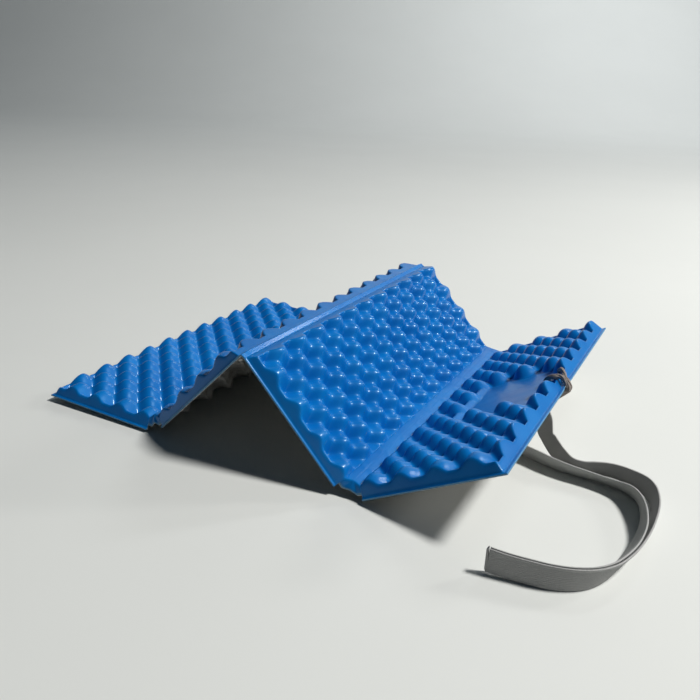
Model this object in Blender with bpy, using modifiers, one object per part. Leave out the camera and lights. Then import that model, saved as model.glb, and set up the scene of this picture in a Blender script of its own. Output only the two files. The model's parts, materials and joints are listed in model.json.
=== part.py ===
"""Folding foam pad: four egg-crate panels on three creases, with an elastic strap loop.

The pad lies zigzag along X. Panel 1 lies on the floor, panel 2 rises from it, panel 3 falls,
and panel 4 rises again with its outer edge in the air. Each panel is described in its own
coordinates: s runs from its lip edge (0) to its valley edge, u along the creases, and n up
from the underside of its lip. Units are metres, +Z is up.
"""

from math import asin, atan2, cos, hypot, pi, radians, sin, tan

import bmesh
import bpy
from mathutils import Matrix, Vector

OBJECT_NAME = "folding_foam_pad"

# Panel outline
PANEL_WIDTH = 0.101
PANEL_LENGTH = 0.285
LIP_WIDTH = 0.0025
LIP_TOP = 0.0022
WALL_SLOPE = tan(radians(70))

# Egg-crate surface: eight rows of eleven bumps, every other row staggered by half a pitch
PEAK = 0.0128
PIT = 0.0013
MIDDLE = (PEAK + PIT) / 2
ROW_COUNT = 8
BUMP_COUNT = 11
ROW_PITCH = 0.024
BUMP_PITCH = 0.025
FIRST_ROW = 0.008
FIRST_BUMP = (PANEL_LENGTH - (BUMP_COUNT - 0.5) * BUMP_PITCH) / 2
END_RIM_HEIGHT = 0.0088
SIDE_RIM_HEIGHT = 0.0030
RIM_WIDTH = 0.0050
RIM_FALL = tan(radians(40))
CREST = 0.0112
CREST_BLEND = 0.0050
VALLEY_EDGE = PANEL_WIDTH + 0.0005

# Smooth field in panel 4 and the bump that the strap flattens there
FIELD_HEIGHT = 0.0045
FIELD_S = (0.014, 0.074)
FIELD_HALF_LENGTH = 0.038
PINCHED_BUMP = (FIRST_ROW, 0.00625)
PINCH_RADIUS = 0.008
PINCH_HEIGHT = 0.0062

# Layers
FOAM_THICKNESS = 0.0022
FILM_THICKNESS = 0.0004
LAYER_GAP = 0.0003

# Folds: the valley axes lie just above the peaks, the ridge axis just below the underside
VALLEY_AXIS = (PANEL_WIDTH + 0.0007, PEAK + 0.00015)
RIDGE_AXIS = (-0.0003, -0.00175)
CREASE_RADIUS = 0.0008
PANEL_1_TILT = radians(1.5)
PANEL_2_RISE = radians(45.0)
PANEL_4_RISE = radians(28.2)
PANEL_1_FOOT = 0.00135
PANEL_4_FOOT = 0.0007

# Strap
STRAP_WIDTH = 0.015
STRAP_THICKNESS = 0.0011
STRAP_STEP = 0.0045
STRAP_BUNCHED_WIDTH = 0.004
STRAP_SPREAD_LENGTH = 0.010
END_FOLD_LENGTH = 0.0026
END_FOLD_REACH = 0.0021
CORD_RADIUS = 0.0013
CORD_STEP = 0.0030
CURVE_STEPS = 16
END_FOLD_ROUNDING = 0.0007
SLOT_SIZE = (0.0060, 0.0066, 0.030)
SLOTS = ((0.0100, 0.0190), (0.0165, 0.0030))

# The strap's route through the slots and round the lip: (s, y, n) in panel 4
HITCH_ROUTE = (
    (0.0255, -0.0024, -0.0068),
    (0.0130, -0.0034, -0.0056),
    (0.0060, -0.0032, -0.0036),
    (0.0010, -0.0030, -0.0027),
    (-0.0014, -0.0029, -0.0020),
    (-0.0019, -0.0028, -0.0002),
    (-0.0014, -0.0016, 0.0034),
    (0.0010, 0.0015, 0.0054),
    (0.0024, 0.0070, 0.0075),
    (0.0052, 0.0130, 0.0090),
    (0.0085, 0.0178, 0.0068),
    (0.0100, 0.0190, 0.0020),
    (0.0102, 0.0184, -0.0030),
    (0.0120, 0.0140, -0.0058),
    (0.0145, 0.0080, -0.0062),
    (0.0163, 0.0040, -0.0040),
    (0.0165, 0.0030, 0.0010),
    (0.0155, 0.0022, 0.0064),
    (0.0115, 0.0006, 0.0088),
    (0.0065, -0.0022, 0.0092),
    (0.0030, -0.0018, 0.0084),
    (0.0004, -0.0034, 0.0062),
    (-0.0015, -0.0054, 0.0034),
    (-0.0019, -0.0060, -0.0002),
    (-0.0014, -0.0062, -0.0020),
    (0.0010, -0.0064, -0.0027),
    (0.0060, -0.0070, -0.0038),
    (0.0152, -0.0080, -0.0062),
)

# The plies' routes: a point on the band's lower edge, then the direction across the band
PLY_A_ROUTE = (
    ((0.1648, -0.0075, 0.0290), (0.60, -0.20, 0.75)),
    ((0.1655, -0.0120, 0.0219), (0.64, -0.31, 0.70)),
    ((0.1667, -0.0120, 0.0131), (0.75, -0.47, 0.46)),
    ((0.1706, -0.0125, 0.0075), (0.62, -0.40, 0.67)),
    ((0.1749, -0.0145, 0.0032), (0.45, -0.30, 0.84)),
    ((0.1815, -0.0205, 0.0010), (0.25, -0.22, 0.94)),
    ((0.1885, -0.0262, 0.0008), (0.10, -0.30, 0.95)),
    ((0.1965, -0.0292, 0.0006), (0.03, -0.50, 0.87)),
    ((0.2038, -0.0290, 0.0005), (0.00, -0.53, 0.85)),
    ((0.2100, -0.0268, 0.0004), (0.00, -0.49, 0.87)),
    ((0.2185, -0.0248, 0.0004), (-0.03, -0.44, 0.89)),
    ((0.2275, -0.0262, 0.0004), (-0.08, -0.36, 0.93)),
    ((0.2370, -0.0310, 0.0004), (-0.08, -0.24, 0.97)),
    ((0.2442, -0.0378, 0.0004), (0.00, -0.10, 0.99)),
    ((0.2484, -0.0465, 0.0004), (0.10, -0.03, 0.99)),
    ((0.2502, -0.0570, 0.0004), (0.20, 0.00, 0.98)),
    ((0.2505, -0.0680, 0.0004), (0.29, 0.00, 0.95)),
    ((0.2494, -0.0810, 0.0004), (0.38, 0.00, 0.92)),
    ((0.2472, -0.0950, 0.0004), (0.47, -0.03, 0.88)),
    ((0.2446, -0.1090, 0.0004), (0.50, -0.08, 0.86)),
    ((0.2418, -0.1225, 0.0004), (0.46, -0.15, 0.87)),
    ((0.2382, -0.1360, 0.0004), (0.34, -0.20, 0.92)),
    ((0.2328, -0.1470, 0.0004), (0.18, -0.18, 0.97)),
    ((0.2245, -0.1552, 0.0004), (0.05, -0.10, 0.99)),
    ((0.2140, -0.1602, 0.0004), (0.00, -0.03, 1.00)),
    ((0.2030, -0.1624, 0.0004), (0.00, 0.00, 1.00)),
    ((0.1915, -0.1641, 0.0008), (0.00, 0.00, 1.00)),
    ((0.1810, -0.1652, 0.0016), (0.00, 0.00, 1.00)),
)
PLY_B_ROUTE = (
    ((0.1596, -0.0095, 0.0290), (0.05, 1.00, 0.00)),
    ((0.1576, -0.0088, 0.0228), (0.05, 0.99, 0.10)),
    ((0.1556, -0.0078, 0.0162), (0.05, 0.92, 0.38)),
    ((0.1535, -0.0068, 0.0095), (0.02, 0.75, 0.66)),
    ((0.1450, -0.0070, 0.0030), (-0.02, 0.38, 0.92)),
    ((0.1395, -0.0115, 0.0008), (-0.08, 0.08, 0.99)),
    ((0.1398, -0.0180, 0.0004), (-0.08, -0.10, 0.99)),
    ((0.1455, -0.0232, 0.0004), (0.00, -0.28, 0.96)),
    ((0.1525, -0.0255, 0.0004), (0.00, -0.42, 0.91)),
    ((0.1620, -0.0280, 0.0004), (0.00, -0.49, 0.87)),
    ((0.1735, -0.0314, 0.0004), (0.00, -0.51, 0.86)),
    ((0.1860, -0.0345, 0.0004), (0.00, -0.56, 0.83)),
    ((0.1980, -0.0356, 0.0004), (0.00, -0.62, 0.79)),
    ((0.2090, -0.0352, 0.0004), (0.00, -0.67, 0.74)),
    ((0.2185, -0.0357, 0.0004), (-0.05, -0.69, 0.72)),
    ((0.2275, -0.0377, 0.0004), (-0.12, -0.66, 0.74)),
    ((0.2358, -0.0420, 0.0004), (-0.24, -0.54, 0.81)),
    ((0.2412, -0.0485, 0.0004), (-0.28, -0.36, 0.89)),
    ((0.2444, -0.0572, 0.0004), (-0.20, -0.16, 0.96)),
    ((0.2460, -0.0675, 0.0004), (-0.02, -0.05, 1.00)),
    ((0.2462, -0.0790, 0.0004), (0.20, 0.00, 0.98)),
    ((0.2450, -0.0930, 0.0004), (0.42, -0.02, 0.91)),
    ((0.2427, -0.1086, 0.0004), (0.50, -0.08, 0.86)),
    ((0.2399, -0.1220, 0.0004), (0.46, -0.15, 0.87)),
    ((0.2365, -0.1351, 0.0004), (0.34, -0.20, 0.92)),
    ((0.2315, -0.1455, 0.0004), (0.18, -0.18, 0.97)),
    ((0.2236, -0.1535, 0.0004), (0.05, -0.10, 0.99)),
    ((0.2136, -0.1584, 0.0004), (0.00, -0.03, 1.00)),
    ((0.2027, -0.1606, 0.0004), (0.00, 0.00, 1.00)),
    ((0.1912, -0.1623, 0.0008), (0.00, 0.00, 1.00)),
    ((0.1808, -0.1634, 0.0016), (0.00, 0.00, 1.00)),
)


def material(name, color, roughness, metallic=0.0):
    """A Principled material in one colour."""
    made = bpy.data.materials.new(name)
    made.use_nodes = True
    shader = made.node_tree.nodes["Principled BSDF"]
    shader.inputs["Base Color"].default_value = (*color, 1.0)
    shader.inputs["Roughness"].default_value = roughness
    shader.inputs["Metallic"].default_value = metallic
    return made


def new_object(name, mesh, collection, paint, parent=None):
    made = bpy.data.objects.new(name, mesh)
    made.data.materials.append(paint)
    collection.objects.link(made)
    made.parent = parent
    return made


def adopt_active(name, collection, parent=None):
    """Names the primitive just added and moves it into a collection."""
    made = bpy.context.active_object
    made.name = name
    for owner in list(made.users_collection):
        owner.objects.unlink(made)
    collection.objects.link(made)
    made.parent = parent
    return made


def smoothstep(value):
    value = min(1.0, max(0.0, value))
    return value * value * (3 - 2 * value)


def in_field(s, y):
    return FIELD_S[0] < s < FIELD_S[1] and abs(y) < FIELD_HALF_LENGTH


def top_height(s, u, has_field):
    """Height of the panel's top surface above the underside of its lip."""
    end = min(u, PANEL_LENGTH - u)
    wave_s = cos(2 * pi * (s - FIRST_ROW) / ROW_PITCH)
    wave_u = cos(2 * pi * (u - FIRST_BUMP - BUMP_PITCH / 2) / BUMP_PITCH)
    height = MIDDLE + (PEAK - PIT) / 2 * wave_s * wave_u
    y = u - PANEL_LENGTH / 2
    if has_field and in_field(s, y):
        height = FIELD_HEIGHT
    if has_field and hypot(s - PINCHED_BUMP[0], y - PINCHED_BUMP[1]) < PINCH_RADIUS:
        height = min(height, PINCH_HEIGHT)
    end_rim = END_RIM_HEIGHT - max(0.0, end - RIM_WIDTH) * RIM_FALL
    side_rim = SIDE_RIM_HEIGHT - max(0.0, s - RIM_WIDTH) * RIM_FALL
    wall = LIP_TOP + max(0.0, min(s, end) - LIP_WIDTH) * WALL_SLOPE
    blend = smoothstep((VALLEY_EDGE - s) / CREST_BLEND)
    height = CREST + (max(height, end_rim, side_rim) - CREST) * blend
    return min(height, wall)


def grid_lines():
    """The s and u lines: lip, wall top, each row and bump, and the valley edge."""
    rows = [FIRST_ROW + k * ROW_PITCH / 2 for k in range(ROW_COUNT)]
    s_lines = [0.0, LIP_WIDTH, RIM_WIDTH] + rows + [PANEL_WIDTH - 0.002, VALLEY_EDGE]
    bumps = [FIRST_BUMP + k * BUMP_PITCH / 2 for k in range(2 * BUMP_COUNT)]
    near_end = [0.0, LIP_WIDTH, RIM_WIDTH]
    far_end = [PANEL_LENGTH - line for line in reversed(near_end)]
    return s_lines, near_end + bumps + far_end


def add_cell(surface, corners):
    """Two triangles that meet along the lower diagonal, so that bumps become pyramids."""
    a, b, c, d = corners
    if a.co.z + c.co.z > b.co.z + d.co.z:
        a, b, c, d = b, c, d, a
    surface.faces.new((a, b, c))
    surface.faces.new((a, c, d))


def panel_shell(name, axis, mirrored, has_field, thickness, depth):
    """One layer of a panel, its top a set depth below the panel's, its origin on the fold axis."""
    s_lines, u_lines = grid_lines()
    shell = bmesh.new()
    rows = []
    for s in s_lines:
        x = axis[0] - s if mirrored else s - axis[0]
        row = []
        for u in u_lines:
            z = top_height(s, u, has_field) - depth - axis[1]
            row.append(shell.verts.new((x, u - PANEL_LENGTH / 2, z)))
        rows.append(row)
    for near, far in zip(rows, rows[1:]):
        for k in range(len(u_lines) - 1):
            corners = [near[k], far[k], far[k + 1], near[k + 1]]
            add_cell(shell, corners[::-1] if mirrored else corners)
    lower = bmesh.ops.extrude_face_region(shell, geom=shell.faces[:])["geom"]
    lower_points = [item for item in lower if isinstance(item, bmesh.types.BMVert)]
    bmesh.ops.translate(shell, vec=(0, 0, -thickness), verts=lower_points)
    bmesh.ops.recalc_face_normals(shell, faces=shell.faces)
    mesh = bpy.data.meshes.new(name)
    shell.to_mesh(mesh)
    shell.free()
    return mesh


def add_slot_cuts(target, cutters):
    for cutter in cutters:
        cut = target.modifiers.new("strap_slot", "BOOLEAN")
        cut.operation = "DIFFERENCE"
        cut.object = cutter


def slot_cutters(collection, parent):
    """Two boxes through panel 4, where the strap passes."""
    cutters = []
    for number, (s, y) in enumerate(SLOTS, start=1):
        bpy.ops.mesh.primitive_cube_add(size=1.0)
        cutter = adopt_active(f"cutter_{number}", collection, parent)
        cutter.location = (VALLEY_AXIS[0] - s, y, MIDDLE - VALLEY_AXIS[1])
        cutter.scale = SLOT_SIZE
        cutter.hide_render = True
        cutter.display_type = "WIRE"
        cutters.append(cutter)
    return cutters


def make_panel(number, axis, frame, mirrored, paints, collection, cutters=()):
    """One panel: the foam shell and the film under it."""
    has_field = bool(cutters)
    for layer, thickness, depth in (
        ("foam", FOAM_THICKNESS, 0.0),
        ("film", FILM_THICKNESS, FOAM_THICKNESS + LAYER_GAP),
    ):
        name = f"panel_{number}_{layer}"
        mesh = panel_shell(name, axis, mirrored, has_field, thickness, depth)
        panel = new_object(name, mesh, collection, paints[layer], frame)
        add_slot_cuts(panel, cutters)


def make_crease(number, frame, paint, collection):
    """The pressed crease, a thin bead on the fold axis."""
    bpy.ops.mesh.primitive_cylinder_add(vertices=10, radius=CREASE_RADIUS, depth=PANEL_LENGTH)
    crease = adopt_active(f"fold_crease_{number}", collection, frame)
    crease.data.materials.append(paint)
    crease.rotation_euler = (pi / 2, 0.0, 0.0)


def empty(name, collection, parent, location, turn):
    """An empty on a fold axis, turned about it."""
    made = bpy.data.objects.new(name, None)
    collection.objects.link(made)
    made.parent = parent
    made.location = location
    made.rotation_euler = (0.0, turn, 0.0)
    return made


def panel_3_fall():
    """The angle at which panel 3 sets panel 4's inner edge on the floor."""
    run = VALLEY_AXIS[0] - RIDGE_AXIS[0]
    offset = VALLEY_AXIS[1] - RIDGE_AXIS[1]
    foot_1 = VALLEY_AXIS[1] + PANEL_1_FOOT
    foot_4 = (VALLEY_AXIS[1] + PANEL_4_FOOT) * cos(PANEL_4_RISE)
    drop = run * sin(PANEL_2_RISE) - offset * cos(PANEL_2_RISE) + foot_1 - foot_4
    return asin(drop / hypot(run, offset)) + atan2(offset, run)


def pad_frames(collection):
    """Empties on the three fold axes, centred on the origin and standing on the floor."""
    fall = panel_3_fall()
    run = VALLEY_AXIS[0] - RIDGE_AXIS[0]
    offset = VALLEY_AXIS[1] - RIDGE_AXIS[1]
    valley_1_x = VALLEY_AXIS[0] * cos(PANEL_1_TILT) + VALLEY_AXIS[1] * sin(PANEL_1_TILT)
    to_ridge = run * cos(PANEL_2_RISE) + offset * sin(PANEL_2_RISE)
    to_valley_2 = run * cos(fall) + offset * sin(fall)
    to_edge = VALLEY_AXIS[0] * cos(PANEL_4_RISE) + VALLEY_AXIS[1] * sin(PANEL_4_RISE)
    length = valley_1_x + to_ridge + to_valley_2 + to_edge
    start = (valley_1_x - length / 2, 0.0, VALLEY_AXIS[1] + PANEL_1_FOOT)
    base = empty("panel_1_frame", collection, None, start, PANEL_1_TILT)
    fold_1 = empty("fold_1_axis", collection, base, (0, 0, 0), -PANEL_2_RISE - PANEL_1_TILT)
    fold_2 = empty("fold_2_axis", collection, fold_1, (run, 0, -offset), fall + PANEL_2_RISE)
    fold_3 = empty("fold_3_axis", collection, fold_2, (run, 0, offset), -PANEL_4_RISE - fall)
    return base, fold_1, fold_2, fold_3


def smooth_curve(points, step):
    """Points at even steps along a Catmull-Rom curve through the given vectors."""
    dense = []
    for k in range(len(points) - 1):
        before = points[max(k - 1, 0)]
        start, end = points[k], points[k + 1]
        after = points[min(k + 2, len(points) - 1)]
        for i in range(CURVE_STEPS):
            t = i / CURVE_STEPS
            dense.append(
                0.5
                * (
                    2 * start
                    + (end - before) * t
                    + (2 * before - 5 * start + 4 * end - after) * t**2
                    + (3 * start - before - 3 * end + after) * t**3
                )
            )
    dense.append(points[-1])
    travelled = [0.0]
    for a, b in zip(dense, dense[1:]):
        travelled.append(travelled[-1] + (b - a).to_3d().length)
    count = max(2, round(travelled[-1] / step))
    even = []
    k = 0
    for i in range(count + 1):
        goal = travelled[-1] * i / count
        while k < len(dense) - 2 and travelled[k + 1] < goal:
            k += 1
        share = (goal - travelled[k]) / (travelled[k + 1] - travelled[k])
        even.append(dense[k].lerp(dense[k + 1], min(1.0, share)))
    return even


def make_cord(name, points, radius, paint, collection, parent=None):
    """A round cord along points: a poly curve with a bevel and filled ends."""
    curve = bpy.data.curves.new(name, "CURVE")
    curve.dimensions = "3D"
    curve.bevel_depth = radius
    curve.bevel_resolution = 2
    curve.use_fill_caps = True
    spline = curve.splines.new("POLY")
    spline.points.add(len(points) - 1)
    for target, point in zip(spline.points, points):
        target.co = (*point, 1.0)
    return new_object(name, curve, collection, paint, parent)


def make_hitch(frame, paint, collection):
    """The strap where it is bunched through the slots and round panel 4's lip."""
    points = [Vector((VALLEY_AXIS[0] - s, y, n - VALLEY_AXIS[1])) for s, y, n in HITCH_ROUTE]
    path = smooth_curve(points, CORD_STEP)
    return make_cord("strap_hitch", path, CORD_RADIUS, paint, collection, frame)


def make_ply(name, route, paint, collection):
    """A flat band that follows its lower edge and the direction across it."""
    points = []
    for edge, across in route:
        points.append(Vector(edge) + Vector(across).normalized() * STRAP_WIDTH / 2)
    directions = [Vector(across).normalized() for _, across in route]
    joined = [Vector((*p, *d)) for p, d in zip(points, directions)]
    rings = smooth_curve(joined, STRAP_STEP)
    band = bmesh.new()
    loops = []
    for k, ring in enumerate(rings):
        centre, across = Vector(ring[:3]), Vector(ring[3:]).normalized()
        ahead = Vector(rings[min(k + 1, len(rings) - 1)][:3])
        behind = Vector(rings[max(k - 1, 0)][:3])
        along = (ahead - behind).normalized()
        across = (across - along * across.dot(along)).normalized()
        normal = along.cross(across)
        spread = smoothstep(k * STRAP_STEP / STRAP_SPREAD_LENGTH)
        half = (STRAP_BUNCHED_WIDTH + (STRAP_WIDTH - STRAP_BUNCHED_WIDTH) * spread) / 2
        corners = [(half, 1), (-half, 1), (-half, -1), (half, -1)]
        loop = []
        for width, side in corners:
            offset = across * width + normal * side * STRAP_THICKNESS / 2
            loop.append(band.verts.new(centre + offset))
        loops.append(loop)
    for near, far in zip(loops, loops[1:]):
        for i in range(4):
            j = (i + 1) % 4
            band.faces.new((near[i], near[j], far[j], far[i]))
    band.faces.new(reversed(loops[0]))
    band.faces.new(loops[-1])
    bmesh.ops.recalc_face_normals(band, faces=band.faces)
    mesh = bpy.data.meshes.new(name)
    band.to_mesh(mesh)
    band.free()
    return new_object(name, mesh, collection, paint)


def make_end_fold(paint, collection):
    """The turned and sewn end that joins the two plies."""
    near = Vector(PLY_A_ROUTE[-1][0])
    far = Vector(PLY_B_ROUTE[-1][0])
    along = (Vector(PLY_A_ROUTE[-2][0]) - near).to_2d().normalized()
    middle = (near + far) / 2 - Vector((*along, 0)) * END_FOLD_REACH
    bpy.ops.mesh.primitive_cube_add(size=1.0)
    fold = adopt_active("strap_end_fold", collection)
    fold.data.materials.append(paint)
    size = Vector((END_FOLD_LENGTH, (near - far).length + STRAP_THICKNESS, STRAP_WIDTH))
    fold.data.transform(Matrix.Diagonal(size.to_4d()))
    fold.location = middle + Vector((0, 0, STRAP_WIDTH / 2))
    fold.rotation_euler = (0, 0, atan2(along.y, along.x))
    rounding = fold.modifiers.new("rounding", "BEVEL")
    rounding.width = END_FOLD_ROUNDING
    rounding.segments = 2


def main():
    for old in list(bpy.data.objects):
        bpy.data.objects.remove(old)
    collection = bpy.data.collections.new(OBJECT_NAME)
    cutter_collection = bpy.data.collections.new("cutters")
    bpy.context.scene.collection.children.link(collection)
    bpy.context.scene.collection.children.link(cutter_collection)
    paints = {
        "foam": material("blue_foam", (0.02, 0.22, 0.60), 0.35),
        "film": material("aluminised_film", (0.60, 0.61, 0.60), 0.40, 0.8),
        "crease": material("pressed_crease", (0.02, 0.20, 0.55), 0.40),
        "strap": material("grey_elastic", (0.16, 0.16, 0.16), 0.85),
    }
    base, fold_1, fold_2, fold_3 = pad_frames(collection)
    cutters = slot_cutters(cutter_collection, fold_3)
    make_panel(1, VALLEY_AXIS, base, False, paints, collection)
    make_panel(2, VALLEY_AXIS, fold_1, True, paints, collection)
    make_panel(3, RIDGE_AXIS, fold_2, False, paints, collection)
    make_panel(4, VALLEY_AXIS, fold_3, True, paints, collection, cutters)
    for number, frame in enumerate((fold_1, fold_2, fold_3), start=1):
        make_crease(number, frame, paints["crease"], collection)
    make_hitch(fold_3, paints["strap"], collection)
    make_ply("strap_ply_a", PLY_A_ROUTE, paints["strap"], collection)
    make_ply("strap_ply_b", PLY_B_ROUTE, paints["strap"], collection)
    make_end_fold(paints["strap"], collection)


main()
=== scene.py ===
"""Looks of the folding foam pad: egg-crate skin, foil underside, creases, elastic strap, studio.

Lengths are metres in the CAD's frame. A panel has its own coordinates: s from its lip edge to
its valley edge, u along the creases from the front, and n up from the underside of its lip.
"""

import json
from math import asin, atan2, cos, hypot, pi, radians, sin, tan

import bpy
import numpy as np
from mathutils import Matrix, Vector


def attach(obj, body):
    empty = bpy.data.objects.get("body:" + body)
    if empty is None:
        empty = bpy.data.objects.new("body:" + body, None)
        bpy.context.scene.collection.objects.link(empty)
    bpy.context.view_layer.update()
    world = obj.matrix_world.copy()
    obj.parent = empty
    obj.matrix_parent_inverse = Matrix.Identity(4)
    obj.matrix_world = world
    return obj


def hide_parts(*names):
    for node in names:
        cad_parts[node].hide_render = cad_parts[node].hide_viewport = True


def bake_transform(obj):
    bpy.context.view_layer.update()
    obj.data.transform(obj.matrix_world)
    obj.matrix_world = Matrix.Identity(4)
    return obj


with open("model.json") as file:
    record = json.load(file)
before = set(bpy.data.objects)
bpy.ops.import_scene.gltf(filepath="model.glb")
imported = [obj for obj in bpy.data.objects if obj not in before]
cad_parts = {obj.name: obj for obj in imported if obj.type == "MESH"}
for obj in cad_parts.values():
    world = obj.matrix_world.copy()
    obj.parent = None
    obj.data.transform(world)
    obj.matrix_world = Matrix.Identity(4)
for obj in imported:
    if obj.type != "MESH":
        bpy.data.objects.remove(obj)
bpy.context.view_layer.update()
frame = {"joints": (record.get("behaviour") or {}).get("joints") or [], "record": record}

# Panel outline, as in the CAD
PANEL_WIDTH = 0.101
PANEL_LENGTH = 0.285
END_LIP = 0.0013
WALL_SLOPE = tan(radians(70))
PEAK = 0.0128
PIT = 0.0013
ROW_PITCH = 0.024
BUMP_PITCH = 0.025
FIRST_ROW = 0.008
FIRST_BUMP = 0.01125
CREST = 0.0121
VALLEY_AXIS = (PANEL_WIDTH + 0.0007, PEAK + 0.00015)
RIDGE_AXIS = (-0.0003, -0.00175)

# The finer shape of the pressed foam
LIP_TOP = 0.0018
LIP_THICKNESS = 0.0012
FOAM_THICKNESS = 0.0021
LIP_ROUNDING = 0.0005
LIP_CORNER = 0.0022
END_RIM_HEIGHT = 0.0076
SIDE_RIM_HEIGHT = 0.0030
RIM_WIDTH = 0.0050
RIM_FALL = tan(radians(52))
SIDE_SLOPES = {1: tan(radians(66)), 2: tan(radians(50)), 3: tan(radians(60)), 4: tan(radians(66))}
SIDE_LIPS = {1: 0.0025, 2: 0.0002, 3: 0.0004, 4: 0.0025}
SIDE_CORNERS = {1: 0.0020, 2: 0.0012, 3: 0.0012, 4: 0.0020}
DOME_RADIUS = 0.0127
DOME_POWER = 0.78
FIELD_DOME_RADIUS = 0.0112
CREASE_WIDTH = 0.0014
WAVE_SHARES = {1: 0.45, 2: 0.6, 3: 0.78, 4: 0.45}
WAVE_POWER = 0.72
END_STRETCH = 0.55
CREST_FALL = 0.95
CREST_LIMIT = 0.85
CREST_CORNER = 0.0012
EDGE_SOFTNESS = 0.0005
END_CORNER = 0.0019
FOIL_THICKNESS = 0.00025
FOIL_GAP = 0.00003
FOIL_INSET = 0.0008

# Mesh lines: fine near the edges, coarser between the bumps
EDGE_STEP = 0.0005
EDGE_ZONE = 0.0085
BUMP_STEP = 0.0011

# Crease strips
VALLEY_STRIP = 0.0030
RIDGE_STRIP = 0.0004
STRIP_ARC_STEPS = 10
VALLEY_BEAD = 0.0002
RIDGE_BEAD = 0.0
WEB_CORNER = 0.68
RIDGE_CORNER = 1.15
NOTCH_LEVEL = 0.0052

# Smooth field in panel 4
FIELD_HEIGHT = 0.0040
FIELD_ROWS = (1, 5)
FIELD_HALF_LENGTH = 0.0375
FIELD_LEDGE = (0.0700, 0.0750, 0.0034)

# Strap
STRAP_WIDTH = 0.015
STRAP_THICKNESS = 0.0011
STRAP_STEP = 0.0010
STRAP_RIBS = 13
RIB_DEPTH = 0.00007
STRAP_BUNCHED_WIDTH = 0.004
STRAP_SPREAD_LENGTH = 0.010
HOLES = ((0.0100, 0.0190), (0.0165, 0.0030))
PINCH_Y = -0.0030
PINCH_REACH = 0.0065
PINCH_DEPTH = 0.0007
PINCHED_BUMP = (FIRST_ROW, 0.00625)
PINCHED_RADIUS = 0.0075
PINCHED_HEIGHT = 0.0066

# Camera
CAMERA_PLACE = (0.26035, -0.48039, 0.24779)
CAMERA_YAW = radians(-27.9051)
CAMERA_PITCH = radians(21.1542)
CAMERA_ROLL = radians(2.2077)
CAMERA_LENS = 36.835

# Studio
KEY_DIRECTION = (0.5616, 0.1412, 0.8153)
KEY_DISTANCE = 2.4
WALL_START = 3.0
WALL_CURVE = 2.5

# The plies' routes, as in the CAD: a point on the lower edge, then the direction across the band
PLY_A_ROUTE = (
    ((0.1648, -0.0075, 0.0290), (0.60, -0.20, 0.75)),
    ((0.1655, -0.0120, 0.0219), (0.64, -0.31, 0.70)),
    ((0.1667, -0.0120, 0.0131), (0.75, -0.47, 0.46)),
    ((0.1706, -0.0125, 0.0075), (0.62, -0.40, 0.67)),
    ((0.1749, -0.0145, 0.0032), (0.45, -0.30, 0.84)),
    ((0.1815, -0.0205, 0.0010), (0.25, -0.22, 0.94)),
    ((0.1885, -0.0262, 0.0008), (0.10, -0.30, 0.95)),
    ((0.1965, -0.0292, 0.0006), (0.03, -0.50, 0.87)),
    ((0.2038, -0.0290, 0.0005), (0.00, -0.53, 0.85)),
    ((0.2100, -0.0268, 0.0004), (0.00, -0.49, 0.87)),
    ((0.2185, -0.0248, 0.0004), (-0.03, -0.44, 0.89)),
    ((0.2275, -0.0262, 0.0004), (-0.08, -0.36, 0.93)),
    ((0.2370, -0.0310, 0.0004), (-0.08, -0.24, 0.97)),
    ((0.2442, -0.0378, 0.0004), (0.00, -0.10, 0.99)),
    ((0.2484, -0.0465, 0.0004), (0.10, -0.03, 0.99)),
    ((0.2502, -0.0570, 0.0004), (0.20, 0.00, 0.98)),
    ((0.2505, -0.0680, 0.0004), (0.29, 0.00, 0.95)),
    ((0.2494, -0.0810, 0.0004), (0.38, 0.00, 0.92)),
    ((0.2472, -0.0950, 0.0004), (0.47, -0.03, 0.88)),
    ((0.2446, -0.1090, 0.0004), (0.50, -0.08, 0.86)),
    ((0.2418, -0.1225, 0.0004), (0.46, -0.15, 0.87)),
    ((0.2382, -0.1360, 0.0004), (0.34, -0.20, 0.92)),
    ((0.2328, -0.1470, 0.0004), (0.18, -0.18, 0.97)),
    ((0.2245, -0.1552, 0.0004), (0.05, -0.10, 0.99)),
    ((0.2140, -0.1602, 0.0004), (0.00, -0.03, 1.00)),
    ((0.2030, -0.1624, 0.0004), (0.00, 0.00, 1.00)),
    ((0.1915, -0.1641, 0.0008), (0.00, 0.00, 1.00)),
    ((0.1810, -0.1652, 0.0016), (0.00, 0.00, 1.00)),
)
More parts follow.
